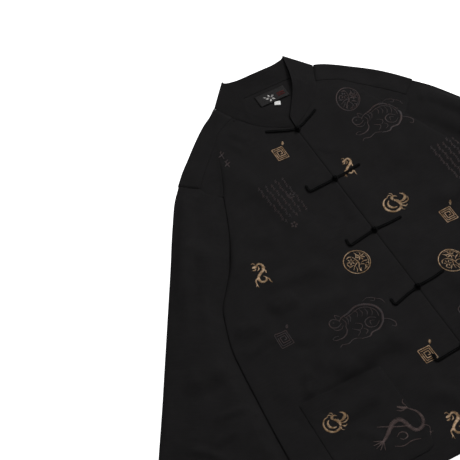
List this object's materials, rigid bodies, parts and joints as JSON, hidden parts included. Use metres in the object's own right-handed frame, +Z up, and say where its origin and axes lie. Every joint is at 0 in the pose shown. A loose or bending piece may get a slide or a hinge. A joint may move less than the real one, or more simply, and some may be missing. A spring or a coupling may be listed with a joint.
{
  "type": "tang jacket",
  "caption": "Long-sleeved jacket laid flat, face up, with a stand collar, knotted frog fastenings down the front, patch pockets and scattered embroidered motifs.",
  "frame": {"origin": "middle of the laid garment's length and width, on the surface that it lies on", "axes": "+X toward the wearer's left sleeve, +Y from the hem toward the collar, +Z up from the surface, out of the fronts"},
  "size_m": [1.1296, 0.827, 0.0134],
  "materials": {
    "cloth": "near-black woven cloth with a faint dull sheen and embroidered motifs in gold and dark brown",
    "cord": "black satin bias cord, doubled and knotted",
    "label": null,
    "size_tab": "white woven tab"
  },
  "bodies": {
    "root": {"back": "cloth", "front_right": "cloth", "front_left": "cloth", "pocket_right": "cloth", "pocket_left": "cloth", "sleeve_right": "cloth", "sleeve_left": "cloth", "collar": "cloth", "frog_1_right": "cord", "frog_1_left": "cord", "frog_1_knot": "cord", "frog_2_right": "cord", "frog_2_left": "cord", "frog_2_knot": "cord", "frog_3_right": "cord", "frog_3_left": "cord", "frog_3_knot": "cord", "frog_4_right": "cord", "frog_4_left": "cord", "frog_4_knot": "cord", "frog_5_right": "cord", "frog_5_left": "cord", "frog_5_knot": "cord", "label": "label", "size_tab": "size_tab"}
  },
  "joints": []
}
